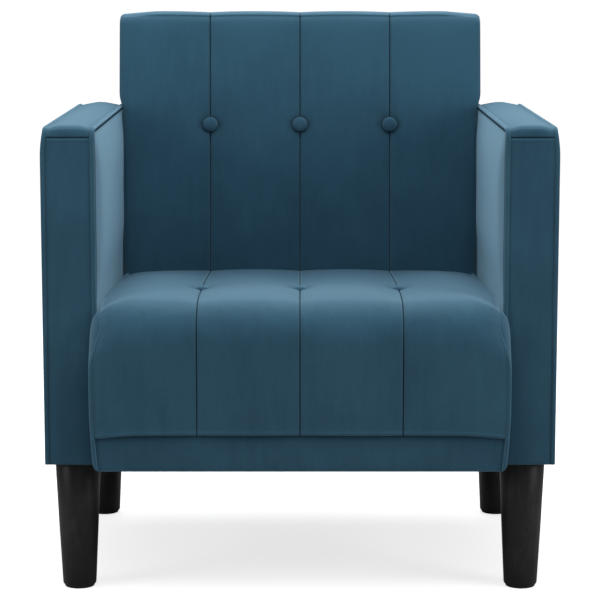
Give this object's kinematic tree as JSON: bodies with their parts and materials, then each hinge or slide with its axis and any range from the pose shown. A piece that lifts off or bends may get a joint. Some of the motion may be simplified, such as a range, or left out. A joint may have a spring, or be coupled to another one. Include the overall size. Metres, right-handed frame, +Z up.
{
  "type": "upholstered armchair",
  "caption": "Low box-arm armchair with a fixed channelled, buttoned velvet seat and back on tapered round legs.",
  "frame": {"origin": "middle of the overall footprint, on the floor under the glides", "axes": "+Z up, the sitter faces -Y, +X is the right side as seen from the front"},
  "size_m": [0.68, 0.62, 0.762],
  "materials": {
    "velvet": "petrol blue short-pile velvet",
    "foam": "cut polyurethane foam",
    "frame_wood": "planed softwood",
    "fibreboard": "smooth hardboard",
    "leg_black": "black satin lacquer",
    "glide_plastic": "moulded",
    "clip_plastic": "moulded",
    "zinc_steel": "zinc plated",
    "felt": "needled felt",
    "dust_cloth": "thin non-woven",
    "webbing": "elastic woven strap",
    "twine": "waxed cord"
  },
  "bodies": {
    "root": {"back_board": "fibreboard", "back_bottom_rail": "frame_wood", "back_boxing": "velvet", "back_button_twines": "twine", "back_buttons": "velvet", "back_foam": "foam", "back_front_cover": "velvet", "back_left_post": "frame_wood", "back_middle_rail": "frame_wood", "back_rear_cover": "velvet", "back_right_post": "frame_wood", "back_top_rail": "frame_wood", "back_webbing": "webbing", "frame_bolts": "zinc_steel", "frame_thread_inserts": "zinc_steel", "front_left_leg": "leg_black", "front_right_leg": "leg_black", "left_arm_bottom_rail": "frame_wood", "left_arm_front_post": "frame_wood", "left_arm_inner_board": "fibreboard", "left_arm_inner_cover": "velvet", "left_arm_outer_board": "fibreboard", "left_arm_outer_cover": "velvet", "left_arm_padding": "foam", "left_arm_rear_post": "frame_wood", "left_arm_top_band": "velvet", "left_arm_top_rail": "frame_wood", "leg_glides": "glide_plastic", "leg_hanger_bolts": "zinc_steel", "leg_mounting_plates": "zinc_steel", "rear_left_leg": "leg_black", "rear_right_leg": "leg_black", "right_arm_bottom_rail": "frame_wood", "right_arm_front_post": "frame_wood", "right_arm_inner_board": "fibreboard", "right_arm_inner_cover": "velvet", "right_arm_outer_board": "fibreboard", "right_arm_outer_cover": "velvet", "right_arm_padding": "foam", "right_arm_rear_post": "frame_wood", "right_arm_top_band": "velvet", "right_arm_top_rail": "frame_wood", "seat_button_twines": "twine", "seat_button_washers": "clip_plastic", "seat_buttons": "velvet", "seat_corner_blocks": "frame_wood", "seat_cover": "velvet", "seat_dust_cloth": "dust_cloth", "seat_foam": "foam", "seat_front_band": "velvet", "seat_front_rail": "frame_wood", "seat_left_boxing": "velvet", "seat_left_rail": "frame_wood", "seat_rear_rail": "frame_wood", "seat_right_boxing": "velvet", "seat_right_rail": "frame_wood", "seat_spring_clips": "clip_plastic", "seat_spring_felt": "felt", "seat_springs": "zinc_steel"}
  },
  "joints": []
}
